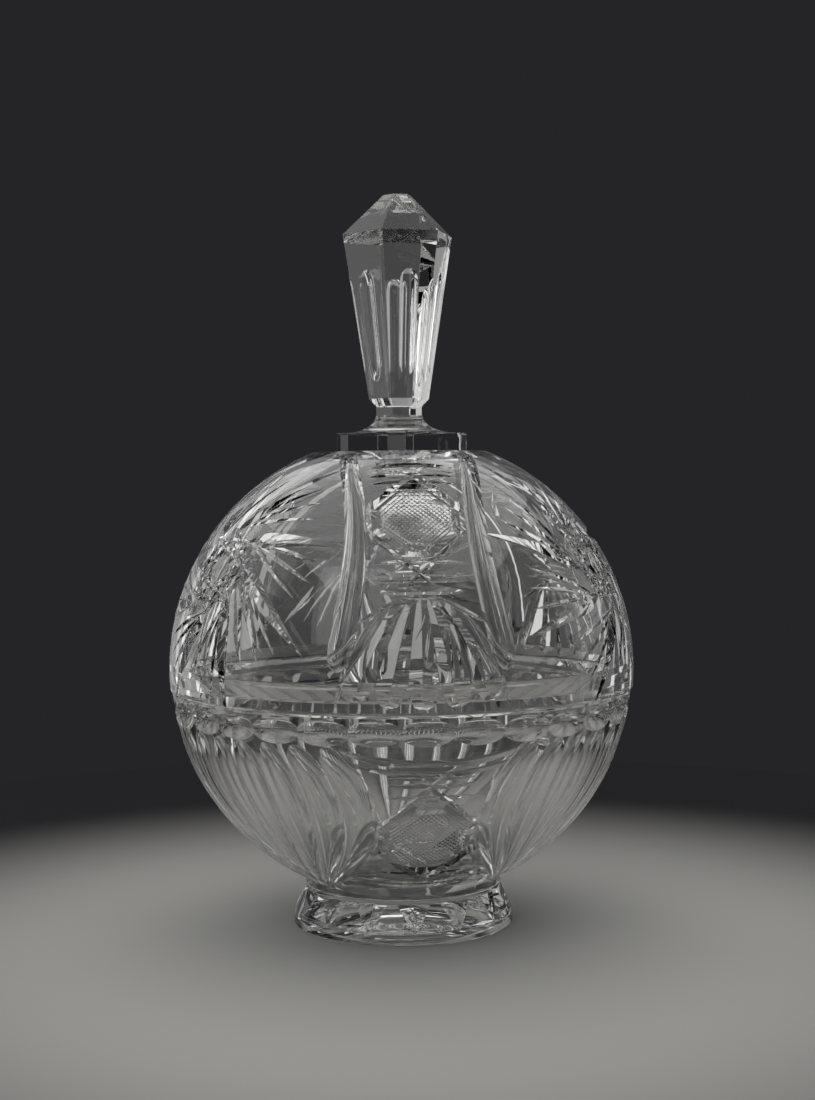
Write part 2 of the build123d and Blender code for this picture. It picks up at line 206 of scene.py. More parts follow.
class CrystalStage(PropertyGroup):
    """Floor, light and camera."""

    # The floor's colour carries a painted pool of light: pale in front of and round the bowl, and falling
    # into painted dark away from it.
    floor_radius: length("Floor radius", "Reach of the round floor", 330 * MM)
    painted_light_pool_forward: length("Pool forward", "Middle of the pale floor in front of the bowl", 40 * MM)
    painted_light_pool_inner: length("Pool inner", "Where the pale floor starts to fall into the dark", 90 * MM)
    painted_light_pool_outer: length("Pool outer", "Where the floor has fallen into the dark", 270 * MM)
    floor: shade("Floor", "Plain pale floor", "C8C7C3")
    floor_painted_dark: shade("Floor edge", "Tone in which the floor falls into the dark", "323133")
    backdrop: shade("Backdrop", "Plain charcoal behind the glass", "252426")
    distance: length("Distance", "Camera from the bowl's axis", 561.2 * MM)
    eye_height: length("Eye height", "Camera above the table", 142.4 * MM)
    camera_turn: angle("Camera turn", "Camera azimuth from straight ahead", -5.8)
    camera_dip: angle("Camera dip", "How far the camera looks down", 2.22)
    focal_pixels: FloatProperty(name="Focal length", description="In photograph pixels", default=1727.5)
    axis_pixel: FloatProperty(name="Axis", description="Column of the photograph with the bowl's axis",
                              default=399.8)
    camera_roll: angle("Camera roll", "Tilt of the photograph", 0.5)


def unit(vectors):
    """Vectors divided by their lengths."""
    return vectors / np.linalg.norm(vectors, axis=-1, keepdims=True)


def toward(azimuth, latitude):
    """Unit directions from the ball's middle: (sin a cos l, -cos a cos l, sin l)."""
    azimuth, latitude = np.broadcast_arrays(azimuth, latitude)
    flat = np.cos(latitude)
    return np.stack([np.sin(azimuth) * flat, -np.cos(azimuth) * flat, np.sin(latitude)], axis=-1)


def panel_way(azimuth, latitude, across, up, radius):
    """Unit directions to points of a plane that touches the ball: radius n + across s + up u, made unit."""
    outward = toward(azimuth, latitude)
    sideways = np.array([cos(azimuth), sin(azimuth), 0])
    upward = np.cross(outward, sideways)
    across, up = np.broadcast_arrays(across, up)
    return unit(outward * radius + across[..., None] * sideways + up[..., None] * upward)


def steps(count):
    """Shares from 0 to 1, closer together near both ends: (1 - cos(pi k / n)) / 2."""
    return (1 - np.cos(np.linspace(0, pi, count))) / 2


def round_end(share, start, span):
    """1 up to a start, and then a quarter of an ellipse down to 0 over a span."""
    return np.sqrt(np.clip(1 - (np.clip(share - start, 0, 1) / span) ** 2, 0, 1))


def great_arc(start, end, share):
    """Unit directions along the straight cut from one direction to another."""
    return unit(start + (end - start) * share[:, None])


def lathe(runs, segments):
    """Turns a half section about Z. A run is points (r, z) with their normals, and runs join end to end.

    The section starts and ends on the axis, and the glass lies to the right of its path.
    """
    section = np.concatenate([runs[0][0][:1]] + [points[1:] for points, _ in runs])
    starts = np.concatenate([normals[:-1] for _, normals in runs])
    ends = np.concatenate([normals[1:] for _, normals in runs])
    turn = 2 * pi * np.arange(segments) / segments
    spin = np.stack([np.cos(turn), np.sin(turn)], axis=-1)

    def carried(pair, column):
        around = pair[:, None, :1] * spin[None, column]
        return np.concatenate([around, np.broadcast_to(pair[:, None, 1:], around.shape[:2] + (1,))], axis=-1)

    here = np.arange(segments)
    beyond = (here + 1) % segments
    rings = carried(section[1:-1], here).reshape(-1, 3)
    top = np.array([[0, 0, section[0, 1]]])
    base = np.array([[0, 0, section[-1, 1]]])
    points = np.concatenate([top, rings, base])
    row = 1 + np.arange(len(section) - 2)[:, None] * segments
    upper, lower = row[:-1], row[1:]
    quads = np.stack([upper + here, lower + here, lower + beyond, upper + beyond], axis=-1)
    first = np.stack([0 * here, row[0] + here, row[0] + beyond], axis=-1)
    last = np.stack([row[-1] + here, 0 * here + len(points) - 1, row[-1] + beyond], axis=-1)
    start_here, start_beyond = carried(starts, here), carried(starts, beyond)
    end_here, end_beyond = carried(ends, here), carried(ends, beyond)
    quad_normals = np.stack([start_here, end_here, end_beyond, start_beyond], axis=2)[1:-1]
    first_normals = np.stack([start_here[0], end_here[0], end_beyond[0]], axis=1)
    last_normals = np.stack([start_here[-1], end_here[-1], start_beyond[-1]], axis=1)
    corners = np.concatenate([first.ravel(), quads.ravel(), last.ravel()])
    sizes = np.repeat([3, 4, 3], [segments, quads.size // 4, segments])
    normals = np.concatenate([part.reshape(-1, 3) for part in (first_normals, quad_normals, last_normals)])
    return points, corners, sizes, normals


def straight(start, end, count=2):
    """A straight run of a section, with its normal to the left of its path."""
    start, end = np.array(start), np.array(end)
    share = np.linspace(0, 1, count)[:, None]
    ahead = unit(end - start)
    normal = np.array([-ahead[1], ahead[0]])
    return start + (end - start) * share, np.broadcast_to(normal, (count, 2))


def bend(centre, radii, start, end, count, inside=False):
    """An arc of an ellipse from one angle to another, with normals away from its middle, or towards it."""
    sweep = np.linspace(start, end, count)
    ray = np.stack([np.cos(sweep), np.sin(sweep)], axis=-1)
    radii = np.array(radii) * np.ones(2)
    normals = unit(ray / radii)
    return np.array(centre) + ray * radii, -normals if inside else normals


def groove(path, outward, half_width, depth, sharp, proud=1.0 * MM):
    """A closed cutter along a path: at a share a across it, its floor is depth (|a| - 1), or (a^2 - 1).

    The first form is a V mitre and the second a round flute. Both ends are lifted, to clear the glass.
    """
    share = np.linspace(-OVERREACH, OVERREACH, 3 if sharp else FLUTE_POINTS)
    level = np.abs(share) - 1 if sharp else share ** 2 - 1
    along = unit(np.gradient(path, axis=0))
    across = unit(np.cross(outward, along))
    lift = np.zeros(len(path))
    lift[[0, -1]] = END_LIFT
    rise = depth[:, None] * level + lift[:, None]
    sideways = across[:, None] * (half_width[:, None] * share)[..., None]
    floor = path[:, None] + sideways + outward[:, None] * rise[..., None]
    crest = floor[:, [-1, 0]] + outward[:, None] * proud
    rings = np.concatenate([floor, crest], axis=1)
    stations, loop = rings.shape[:2]
    index = np.arange(stations * loop).reshape(stations, loop)
    onward = np.roll(index, -1, axis=1)
    quads = np.stack([index[:-1], onward[:-1], onward[1:], index[1:]], axis=-1)
    lengthwise = np.gradient(floor, axis=0)
    crosswise = np.diff(floor, axis=1)
    walls = unit(np.cross(lengthwise[:, :-1] + lengthwise[:, 1:], crosswise))
    if sharp:
        near, far = walls, walls
    else:
        blend = np.concatenate([walls[:, :1], unit(walls[:, :-1] + walls[:, 1:]), walls[:, -1:]], axis=1)
        near, far = blend[:, :-1], blend[:, 1:]
    wall_normals = np.stack([near[:-1], far[:-1], far[1:], near[1:]], axis=2)
    rest = np.broadcast_to(outward[:-1, None, None], (stations - 1, loop - len(share) + 1, 4, 3))
    quad_normals = np.concatenate([wall_normals, rest], axis=1)
    corners = np.concatenate([quads.ravel(), index[0, ::-1], index[-1]])
    sizes = np.concatenate([np.full(quads.size // 4, 4), [loop, loop]])
    cap_normals = np.broadcast_to(outward[0], (2 * loop, 3))
    normals = np.concatenate([quad_normals.reshape(-1, 3), cap_normals])
    return rings.reshape(-1, 3), corners, sizes, normals


def ball_cut(way, form, radius, half_width, depth, sharp):
    """A groove that follows unit directions from the ball's middle, at a radius from it."""
    middle = np.array([0, 0, form.ball_height])
    return groove(middle + way * radius, way, half_width, depth, sharp)


def prism(polygons, heights):
    """A closed stack of level polygons with equal numbers of corners, flat sided, each at its own height."""
    loop = len(polygons[0])
    points = np.concatenate([np.column_stack([ring, np.full(loop, height)])
                             for ring, height in zip(polygons, heights)])
    index = np.arange(len(points)).reshape(-1, loop)
    onward = np.roll(index, -1, axis=1)
    quads = np.stack([index[:-1], onward[:-1], onward[1:], index[1:]], axis=-1).reshape(-1, 4)
    sides = points[quads]
    flat = unit(np.cross(sides[:, 1] - sides[:, 0], sides[:, 3] - sides[:, 0]))
    corners = np.concatenate([quads.ravel(), index[0, ::-1], index[-1]])
    sizes = np.concatenate([np.full(len(quads), 4), [loop, loop]])
    ends = np.repeat([[0.0, 0, -1], [0, 0, 1]], loop, axis=0)
    return points, corners, sizes, np.concatenate([np.repeat(flat, 4, axis=0), ends])


def gather(parts):
    """Several closed shapes as one set of arrays."""
    shift = np.cumsum([0] + [len(part[0]) for part in parts[:-1]])
    corners = np.concatenate([part[1] + move for part, move in zip(parts, shift)])
    return (np.concatenate([part[0] for part in parts]), corners,
            np.concatenate([part[2] for part in parts]), np.concatenate([part[3] for part in parts]))


def turned(part, turn):
    """A shape turned about the Z axis."""
    spin = np.array([[cos(turn), sin(turn), 0], [-sin(turn), cos(turn), 0], [0, 0, 1]])
    return part[0] @ spin, part[1], part[2], part[3] @ spin


def round_copies(part, count, sets=1):
    """A shape's copies, evenly round the Z axis, dealt out to one or more sets of arrays."""
    copies = [turned(part, 2 * pi / count * copy) for copy in range(count)]
    return [gather(copies[first::sets]) for first in range(sets)]


def put_mesh(name, part, mark=POLISHED_MAIN):
    """A mesh from whole arrays, with the glass normal on each face corner and a mark on each face."""
    points, corners, sizes, normals = part
    mesh = bpy.data.meshes.new(name)
    mesh.vertices.add(len(points))
    mesh.vertices.foreach_set("co", points.astype(np.float32).ravel())
    mesh.loops.add(len(corners))
    mesh.loops.foreach_set("vertex_index", corners.astype(np.int32))
    mesh.polygons.add(len(sizes))
    mesh.polygons.foreach_set("loop_start", (np.cumsum(sizes) - sizes).astype(np.int32))
    mesh.update(calc_edges=True)
    carried = mesh.attributes.new("glass_normal", "FLOAT_VECTOR", "CORNER")
    carried.data.foreach_set("vector", normals.astype(np.float32).ravel())
    marks = mesh.attributes.new("mark", "INT", "FACE")
    marks.data.foreach_set("value", np.full(len(sizes), mark, np.int32))
    return mesh


def put_object(name, data):
    """A new object in the scene."""
    item = bpy.data.objects.new(name, data)
    bpy.context.scene.collection.objects.link(item)
    return item


def worked(blank, tools, operation):
    """The mesh left when closed tools are cut from a blank, joined to it or intersected with it."""
    bench = bpy.data.collections.new("bench")
    bpy.context.scene.collection.children.link(bench)
    piece = put_object("blank", blank)
    for tool in tools:
        bench.objects.link(bpy.data.objects.new("tool", tool))
    step = piece.modifiers.new("wheel", "BOOLEAN")
    step.operation = operation
    step.solver = "MANIFOLD"
    step.operand_type = "COLLECTION"
    step.collection = bench
    result = bpy.data.meshes.new_from_object(piece.evaluated_get(bpy.context.evaluated_depsgraph_get()))
    if len(result.polygons) < 4:    # no closed shape has fewer faces
        raise RuntimeError("The cutters left no glass")
    for worn in [piece, *bench.objects]:
        bpy.data.meshes.remove(worn.data)
    bpy.data.collections.remove(bench)
    return result


def all_of(items, name, kind, width=1):
    """One property of all items of a mesh, as a whole array."""
    values = np.empty(len(items) * width, kind)
    items.foreach_get(name, values)
    return values.reshape(-1, width)


def faces_with(mesh, chosen):
    """The faces of a worked mesh that have one of the chosen marks, as whole arrays, and their marks."""
    marks = all_of(mesh.attributes["mark"].data, "value", np.int32)[:, 0]
    sizes = all_of(mesh.polygons, "loop_total", np.int32)[:, 0]
    corners = all_of(mesh.loops, "vertex_index", np.int32)[:, 0]
    normals = all_of(mesh.attributes["glass_normal"].data, "vector", np.float32, 3)
    points = all_of(mesh.vertices, "co", np.float32, 3)
    faces = np.isin(marks, chosen)
    kept = np.repeat(faces, sizes)
    used, corners = np.unique(corners[kept], return_inverse=True)
    return (points[used], corners, sizes[faces], unit(normals[kept])), marks[faces]


def put_piece(node, mesh, chosen, body, look):
    """A node's glass, from the marked faces of a worked mesh, shaded by the normals that they carry."""
    part, marks = faces_with(mesh, chosen)
    data = put_mesh("cut_" + node, part)
    data.shade_smooth()
    data.normals_split_custom_set(part[3].astype(float).tolist())
    for spent in ("glass_normal", "mark"):
        data.attributes.remove(data.attributes[spent])
    hatched = GROUND in chosen
    if hatched:
        ground = data.attributes.new("ground", "FLOAT", "FACE")
        ground.data.foreach_set("value", (marks == GROUND).astype(np.float32))
    data.materials.append(lead_crystal("cut_polished_lead_crystal_" + node, look, hatched))
    piece = put_object("cut_" + node, data)
    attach(piece, body)
    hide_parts(node)


def mitre(start, end, form, radius, half_width, depth, count=13, blunt=2):
    """A straight V cut on the ball, as deep as 1 - (2 t - 1)^blunt along it, which runs out in points."""
    share = steps(count)
    way = great_arc(start, end, share)
    swell = 1 - (2 * share - 1) ** blunt
    return ball_cut(way, form, radius, half_width * swell + HAIR, depth * swell, True)


def medallion(azimuth, latitude, form, radius, scale):
    """The mitres round one medallion: crossing diagonals, an eight-sided frame, uprights and level rungs.

    Each runs straight between two points, given across and up from the medallion's middle in mm.
    """
    diagonal = (15.8, 1.7), (-6.5, 26.4)
    frame_side = (14.6, 2.6), (2.8, 14.4)
    upright = (13.4, 8)
    # Each rung's height, half length and half width
    rungs = ((13.3, 8.0, 1.7), (15.6, 14.0, 0.8), (19.6, 14.0, 0.9), (22.0, 14.0, 0.6), (25.4, 14.0, 1.3))
    cuts = []

    def place(side, level, point, wide=scale, tall=scale):
        across, up = point
        return panel_way(azimuth, latitude, side * across * MM * wide, level * up * MM * tall, radius)

    for side in (-1, 1):
        for level in (-1, 1):
            start, end = [place(side, level, point) for point in diagonal]
            cuts.append(mitre(start, end, form, radius, half_width=1.4 * MM, depth=1.1 * MM))
            start, end = [place(side, level, point) for point in frame_side]
            cuts.append(mitre(start, end, form, radius, half_width=1.9 * MM, depth=1.1 * MM, blunt=6))
        low, high = [place(side, level, upright, tall=1) for level in (-1, 1)]
        cuts.append(mitre(low, high, form, radius, half_width=1.8 * MM, depth=0.9 * MM))
    for up, reach, half_width in rungs:
        for level in (-1, 1):
            left, right = [place(side, level, (reach, up), wide=1) for side in (-1, 1)]
            cuts.append(mitre(left, right, form, radius, half_width * MM, 0.8 * half_width * MM, blunt=4))
    return cuts


def crosshatch(azimuth, latitude, form, radius, inradius, pitch):
    """Two sets of fine parallel V cuts that fill an eight-sided field, each cut ending on the field's sides.

    A line at a distance d from the middle reaches min(inradius, inradius sqrt 2 - |d|) each way. Neighbours
    go in separate meshes, so that no mesh crosses itself.
    """
    half_width, depth, taper = 0.46 * pitch, 0.28 * pitch, 0.2
    sets = []
    for lean in (-1, 1):
        cuts = []
        for place in np.arange(-inradius + pitch / 2, inradius, pitch):
            reach = min(inradius, inradius * sqrt(2) - abs(place))
            along = np.linspace(-reach, reach, 9)
            across = (along + lean * place) * sqrt(0.5)
            up = (lean * along - place) * sqrt(0.5)
            way = panel_way(azimuth, latitude, across, up, radius)
            swell = np.clip((reach - np.abs(along)) / (taper * reach), 0.05, 1)
            cuts.append(ball_cut(way, form, radius, half_width * swell, depth * swell, True))
        sets += [gather(cuts[0::2]), gather(cuts[1::2])]
    return sets


def fan(azimuth, form, radius):
    """Five V petals from a bar to the rim: at a share t down them their pitch is 1.76 + 6.3 t^0.75 degrees.

    Each ends in a round. A round hollow as wide as sin(pi t)^0.6 lies on either side of them, in a frame
    of two mitres that meet at a knee.
    """
    share = np.linspace(0, 1, 25)
    petal_top = radians(20.6)
    pitch = radians(1.76) + radians(6.3) * share ** 0.75
    petal_end = round_end(share, 0.72, 0.28)
    cuts = []
    for petal in range(-2, 3):
        drop = radians(24.8 - 0.5 * petal ** 2)
        latitude = petal_top - drop * share
        way = toward(azimuth + petal * pitch, latitude)
        half_width = MEET * pitch * radius * np.cos(latitude) * petal_end + HAIR
        cuts.append(ball_cut(way, form, radius, half_width, 0.64 * half_width, True))
    hollow_latitude = radians(18.6) - radians(17.0) * share
    hollow_swing = radians(7.2) + radians(10.2) * share ** 0.8
    hollow_width = 2.9 * MM * np.sin(pi * share) ** 0.6 + HAIR
    # Swing from the fan's middle, and latitude, of the frame's top, knee and low end in degrees
    frame_places = ((4.6, 20.7), (14.6, 15.2), (19.6, -3.5))
    for side in (-1, 1):
        way = toward(azimuth + side * hollow_swing, hollow_latitude)
        cuts.append(ball_cut(way, form, radius, hollow_width, 0.3 * hollow_width, False))
        corners = [toward(azimuth + side * radians(swing), radians(rise)) for swing, rise in frame_places]
        for start, end in zip(corners, corners[1:]):
            cuts.append(mitre(start, end, form, radius, half_width=0.7 * MM, depth=0.45 * MM, blunt=6))
    left, right = [toward(azimuth + side * radians(5.0), radians(20.9)) for side in (-1, 1)]
    cuts.append(mitre(left, right, form, radius, half_width=0.9 * MM, depth=0.8 * MM))
    return cuts


def border(azimuth, side, form, radius):
    """A broad round flute beside a panel, which widens downwards and ends in a round.

    Its swing from the panel's middle is a fourth-power curve, fitted to swings judged at eight latitudes.
    """
    latitudes = np.radians([66, 55, 45, 34, 24, 15, 6, -3])
    swings = np.radians([36, 25, 19.4, 17, 16.6, 17.4, 19.0, 21.2])
    end = radians(4)
    narrow, widening, depth = 2.8 * MM, 1.3 * MM, 1.7 * MM
    share = np.linspace(0, 1, 49)
    latitude = latitudes[0] + (end - latitudes[0]) * share
    swing = np.polynomial.Polynomial.fit(latitudes, swings, 4)
    way = toward(azimuth + side * swing(latitude), latitude)
    swell = round_end(share, 0.9, 0.1)
    half_width = (narrow + widening * share) * swell + HAIR
    return ball_cut(way, form, radius, half_width, depth * swell ** 2 + HAIR / 2, False)


def star(azimuth, cuts, form, radius):
    """A whirling star: a long leaf and three fine rays from each point, and crossing cuts inside the points.

    A leaf swells as a quarter of a sine over its first 0.27, and then narrows as a 0.9 power to its tip.
    """
    reach = cuts.star_radius
    apart = 2 * pi / cuts.star_points
    leaf_root, leaf_half_width, leaf_depth = -2 * MM, 3.0 * MM, 1.6 * MM
    rays, ray_length, ray_lean, ray_half_width, ray_depth = 3, 36, radians(13), 0.75 * MM, 0.55 * MM
    # Each crossing cut's reach in points, half width and depth in mm
    crossings = ((3, 1.2, 0.8), (2, 0.8, 0.55))
    share = steps(19)
    leaf = np.where(share < 0.27, np.sin(pi / 2 * np.clip(share / 0.27, 0, 1)), ((1 - share) / 0.73) ** 0.9)
    tools = []

    def place(bearing, heading=0.0, on=0.0):
        across = reach * cos(bearing) + on * cos(heading)
        up = reach * sin(bearing) + on * sin(heading)
        return panel_way(azimuth, cuts.star_latitude, across, up, radius)

    for bearing in apart * np.arange(cuts.star_points):
        heading = bearing + cuts.leaf_lead
        root, tip = [place(bearing, heading, on) for on in (leaf_root, cuts.leaf_length)]
        way = great_arc(root, tip, share)
        tools.append(ball_cut(way, form, radius, leaf_half_width * leaf + HAIR, leaf_depth * leaf, True))
        point = place(bearing)
        for ray in range(1, rays + 1):
            end = place(bearing, heading - ray_lean * ray, (ray_length - ray) * MM)
            tools.append(mitre(point, end, form, radius, ray_half_width, ray_depth, count=9))
        for stride, half_width, depth in crossings:
            end = place(bearing + apart * stride)
            tools.append(mitre(point, end, form, radius, half_width * MM, depth * MM, count=9))
    return tools


def thumbprint(latitude, count, form, radius):
    """A round hollow under the rim, as deep as 1 - 0.88 s^2 along it, so that neighbours meet in a ridge."""
    half_height, depth = 4.1 * MM, 2.5 * MM
    share = np.linspace(-1.25, 1.25, 21)
    way = toward(share * pi / count, latitude)
    swell = np.clip(1 - 0.88 * share ** 2, 0.02, 1)
    return ball_cut(way, form, radius, half_height * np.sqrt(swell), depth * swell, False)


def shell(azimuth, count, form, radius):
    """The flutes of one shell: the pitch swells to the middle and closes at the foot, and widths follow it.

    The pitch is a fourth-power curve, fitted to pitches judged at six latitudes.
    """
    latitudes = np.radians([-11, -20, -32, -40, -58, -66])
    pitches = np.radians([7.3, 8.7, 9.3, 8.7, 4.6, 1.3])
    pitch_at = np.polynomial.Polynomial.fit(latitudes, pitches, 4)
    deepest, steepness, tip_length = 2.3 * MM, 0.46, 0.16
    share = np.linspace(0, 1, 37)
    tip = 1 - (1 - np.clip(share / tip_length, 0, 1)) ** 2
    tools = []
    for flute in range(count):
        place = flute - (count - 1) / 2
        top = radians(-11.5 - 0.035 * place ** 2)
        latitude = top + (latitudes[-1] - top) * share
        pitch = pitch_at(latitude)
        way = toward(azimuth + place * pitch, latitude)
        half_width = MEET * pitch * radius * np.cos(latitude)
        depth = np.minimum(deepest, steepness * half_width) * tip + HAIR / 4
        tools.append(ball_cut(way, form, radius, half_width * np.sqrt(tip) + HAIR, depth, False))
    return tools


def valance(azimuth, latitude, form, radius):
    """Two sagging cuts under the thumbprints, up = low + 3.6 (x / 31)^2 in mm, and a burst of short rays."""
    half_length, sag = 31, 3.6
    burst_up, ray_start, ray_end = 20.6 * MM, 0.5 * MM, 4.4 * MM
    tools = []
    along = steps(21) * 2 - 1
    swell = np.sqrt(np.clip(1 - along ** 2, 0, 1))
    for low, half_width, depth in ((29.2, 1.5, 0.8), (25.6, 1.0, 0.55)):
        up = low * MM + sag * MM * along ** 2
        way = panel_way(azimuth, latitude, along * half_length * MM, up, radius)
        tools.append(ball_cut(way, form, radius, half_width * MM * swell + HAIR, depth * MM * swell, True))
    for heading in np.radians(np.arange(-150, -29, 15)):
        start, end = [panel_way(azimuth, latitude, out * cos(heading), burst_up + out * sin(heading), radius)
                      for out in (ray_start, ray_end)]
        tools.append(mitre(start, end, form, radius, half_width=0.3 * MM, depth=0.3 * MM, count=7))
    return tools


def all_round(tools, count, mark=POLISHED_MAIN, sets=1):
    """Each cutter with its copies round the axis, as meshes with a mark, in which no neighbours touch."""
    return [put_mesh("tool", part, mark) for tool in tools for part in round_copies(tool, count, sets)]


def lid_blank(form):
    """The plain cover: seat, dome, rounded rim, seat on the bowl, flange, inside dome and ceiling."""
    outer, inner = form.lid_radius, form.lid_radius - form.lid_wall
    middle = form.ball_height
    seat = lid_high.z
    rim = bowl_high.z + form.seat_gap
    low = lid_low.z
    round_rim, flange_clear, flange_wall, flange_rise = 1.0 * MM, 0.8 * MM, 3.2 * MM, 3 * MM
    seat_angle = np.arcsin((seat - middle) / outer)
    rim_angle = np.arcsin((rim + round_rim - middle) / outer)
    edge = outer * cos(rim_angle)
    flange_outside = sqrt((form.bowl_radius - form.bowl_wall) ** 2 - (low - middle) ** 2) - flange_clear
    flange_inside = flange_outside - flange_wall
    flange_top = bowl_high.z + flange_rise
    ceiling = seat - form.ceiling_thickness
    shoulder = flange_top + sqrt(inner ** 2 - (flange_top - middle) ** 2) - flange_inside
    inner_low = np.arcsin((shoulder - middle) / inner)
    inner_top = np.arcsin((ceiling - middle) / inner)
    dome = bend((0, middle), outer, seat_angle, rim_angle, 64)
    rim_bend = bend((edge - round_rim, rim + round_rim), round_rim, 0, -pi / 2, 6)
    rim_bend[0][0] = dome[0][-1]
    inside = bend((0, middle), inner, inner_low, inner_top, 40, inside=True)
    return lathe([
        straight((0, seat), dome[0][0], 4),
        dome,
        rim_bend,
        straight((edge - round_rim, rim), (flange_outside, rim)),
        straight((flange_outside, rim), (flange_outside, low)),
        straight((flange_outside, low), (flange_inside, low)),
        straight((flange_inside, low), (flange_inside, flange_top)),
        straight((flange_inside, flange_top), inside[0][0]),
        inside,
        straight(inside[0][-1], (0, ceiling), 4),
    ], form.segments)


def bowl_blank(form):
    """The plain bowl: floor, inside, bevelled rim, outside, and a base sunk a little into the foot."""
    outer, inner = form.bowl_radius, form.bowl_radius - form.bowl_wall
    middle = form.ball_height
    floor = foot_high.z + form.floor_thickness
    rim = bowl_high.z
    bevel = 0.6 * MM
    base = foot_high.z - SINK
    floor_angle = np.arcsin((floor - middle) / inner)
    mouth_angle = np.arcsin((rim - middle) / inner)
    shoulder_angle = np.arcsin((rim - bevel - middle) / outer)
    base_angle = np.arcsin((base - middle) / outer)
    inside = bend((0, middle), inner, floor_angle, mouth_angle, 40, inside=True)
    outside = bend((0, middle), outer, shoulder_angle, base_angle, 64)
    rim_edge = (outer * cos(shoulder_angle) - bevel, rim)
    return lathe([
        straight((0, floor), inside[0][0], 4),
        inside,
        straight(inside[0][-1], rim_edge),
        straight(rim_edge, outside[0][0]),
        outside,
        straight(outside[0][-1], (0, base), 4),
    ], form.segments)


def foot_skirt(form):
    """The foot's turned skirt: a flared side, an upright edge, a bevel and a domed hollow underneath."""
    radius, top = foot_high.x, foot_high.z - FOOT_LIP
    hollow_radius, hollow_depth = 24 * MM, 4.5 * MM
    curve = (hollow_radius ** 2 + hollow_depth ** 2) / (2 * hollow_depth)
    sweep = np.arcsin(hollow_radius / curve)
    return lathe([
        straight((0, top), (FOOT_TOP_RADIUS, top)),
        straight((FOOT_TOP_RADIUS, top), (radius, FOOT_EDGE)),
        straight((radius, FOOT_EDGE), (radius, FOOT_BEVEL)),
        straight((radius, FOOT_BEVEL), (radius - FOOT_BEVEL, 0)),
        straight((radius - FOOT_BEVEL, 0), (hollow_radius, 0)),
        bend((0, hollow_depth - curve), curve, pi / 2 - sweep, pi / 2, 16, inside=True),
    ], form.segments)


def foot_facet():
    """A V cutter that leans with the skirt, deeper towards its top. Its sides open by 146 degrees."""
    bite, reach, half_opening = 2.4 * MM, 4.2 * MM, radians(73)
    low = np.array([0, -foot_high.x, FOOT_EDGE])
    high = np.array([0, bite - FOOT_TOP_RADIUS, foot_high.z - FOOT_LIP])
    ahead = unit(high - low)
    path = low + (high - low) * np.linspace(-0.35, 1.3, 6)[:, None]
    outward = np.broadcast_to(np.array([0, -ahead[2], ahead[1]]), path.shape)
    half_width = np.full(len(path), reach * tan(half_opening))
    return groove(path + outward * reach, outward, half_width, np.full(len(path), reach), True)


def foot_lip(form):
    """The thin lip over the skirt, with a rounded upper edge. It is sunk 0.1 mm into the skirt."""
    top, low = foot_high.z, foot_high.z - FOOT_LIP - 0.1 * MM
    return lathe([
        straight((0, top), (FOOT_TOP_RADIUS - FOOT_BEVEL, top)),
        bend((FOOT_TOP_RADIUS - FOOT_BEVEL, top - FOOT_BEVEL), FOOT_BEVEL, pi / 2, 0, 5),
        straight((FOOT_TOP_RADIUS, top - FOOT_BEVEL), (FOOT_TOP_RADIUS, low)),
        straight((FOOT_TOP_RADIUS, low), (0, low)),
    ], form.segments)


def foot_glass(form, facets):
    """The foot: its skirt, cut with V facets, and its lip."""
    cutters = all_round([foot_facet()], facets, POLISHED_END, sets=3)
    faceted = worked(put_mesh("skirt", foot_skirt(form), POLISHED_END), cutters, "DIFFERENCE")
    return worked(faceted, [put_mesh("lip", foot_lip(form), POLISHED_END)], "UNION")


def finial_base(form):
    """The three-cornered plate with cut corners, and a spread that rises from it as a quarter ellipse."""
    low = finial_low.z - SINK
    corner, half_edge = 22.26 * MM, 2.95 * MM
    around = np.radians([90, 210, 330])
    out = np.column_stack([np.cos(around), np.sin(around)]) * corner
    side = np.column_stack([-np.sin(around), np.cos(around)]) * half_edge
    outline = np.stack([out - side, out + side], axis=1).reshape(-1, 2)
    plate = prism([outline, outline], [low, neck_low + 1 * MM])
    spread, beyond = 20.5 * MM, 30 * MM
    edge = plate_top + 0.6 * MM
    turned_spread = lathe([
        straight((0, neck_low), (NECK_RADIUS, neck_low)),
        bend((spread, neck_low), (spread - NECK_RADIUS, neck_low - edge), pi, 1.5 * pi, 20, inside=True),
        straight((spread, edge), (beyond, edge)),
        straight((beyond, edge), (beyond, low)),
        straight((beyond, low), (0, low)),
    ], form.segments)
    tools = [put_mesh("spread", turned_spread, POLISHED_END)]
    return worked(put_mesh("plate", plate, POLISHED_END), tools, "INTERSECT")


def six_sides(radius):
    """The corners of a six-sided ring, turned from the +X axis as the finial is."""
    around = FINIAL_TURN + pi / 3 * np.arange(6)
    return np.column_stack([np.cos(around), np.sin(around)]) * radius


